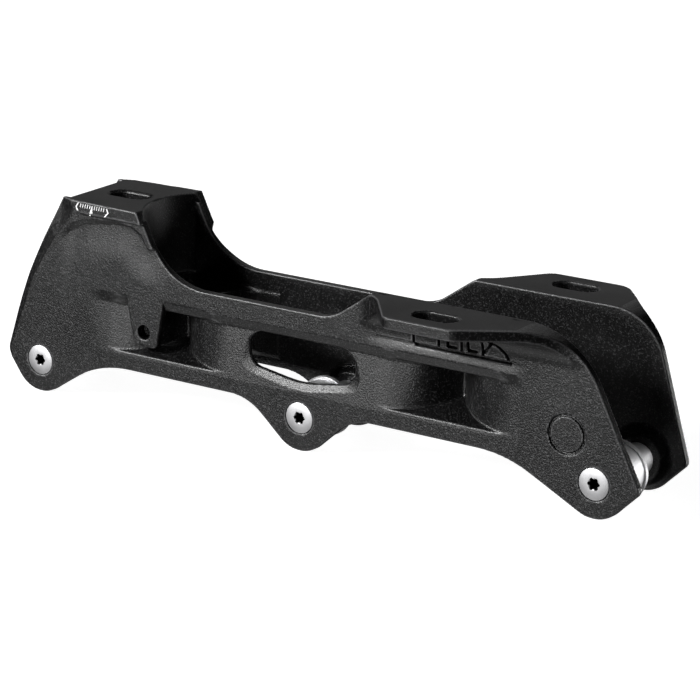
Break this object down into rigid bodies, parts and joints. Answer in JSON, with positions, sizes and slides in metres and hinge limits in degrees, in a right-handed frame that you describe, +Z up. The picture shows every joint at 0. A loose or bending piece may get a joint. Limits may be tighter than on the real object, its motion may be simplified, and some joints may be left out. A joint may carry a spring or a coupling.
{
  "type": "inline skate frame",
  "caption": "Cast inline skate frame for the right foot, with side walls pinched between the wheel bays, a heel deck, staggered toe wings, and removable axles with spacers.",
  "frame": {"origin": "on the floor under the middle axle, at the centre of the frame's footprint", "axes": "+X from heel to toe, +Y to the medial side (the right foot's inner side), +Z up"},
  "size_m": [0.2628, 0.079, 0.0752],
  "materials": {
    "coated_casting": "fine-grained black powder coat on cast aluminium",
    "axle_steel": "bright zinc-plated steel",
    "spacer_metal": "turned and polished aluminium"
  },
  "bodies": {
    "frame": {"frame_casting": "coated_casting"},
    "rear_axle": {"rear_axle": "axle_steel"},
    "middle_axle": {"middle_axle": "axle_steel"},
    "front_axle": {"front_axle": "axle_steel"},
    "rear_spacer": {"rear_spacer": "spacer_metal"},
    "middle_spacer": {"middle_spacer": "spacer_metal"},
    "front_spacer": {"front_spacer": "spacer_metal"}
  },
  "joints": [
    {"name": "rear_axle_draw", "type": "slide", "parent": "frame", "child": "rear_axle", "axis": [0, -1, 0], "range_m": [0, 0.04]},
    {"name": "middle_axle_draw", "type": "slide", "parent": "frame", "child": "middle_axle", "axis": [0, -1, 0], "range_m": [0, 0.04]},
    {"name": "front_axle_draw", "type": "slide", "parent": "frame", "child": "front_axle", "axis": [0, -1, 0], "range_m": [0, 0.04]},
    {"name": "rear_spacer_spin", "type": "hinge", "parent": "frame", "child": "rear_spacer", "pos_m": [-0.1155, 0, 0.012], "axis": [0, 1, 0], "continuous": true},
    {"name": "middle_spacer_spin", "type": "hinge", "parent": "frame", "child": "middle_spacer", "pos_m": [0, 0, 0.012], "axis": [0, 1, 0], "continuous": true},
    {"name": "front_spacer_spin", "type": "hinge", "parent": "frame", "child": "front_spacer", "pos_m": [0.1155, 0, 0.012], "axis": [0, 1, 0], "continuous": true}
  ]
}
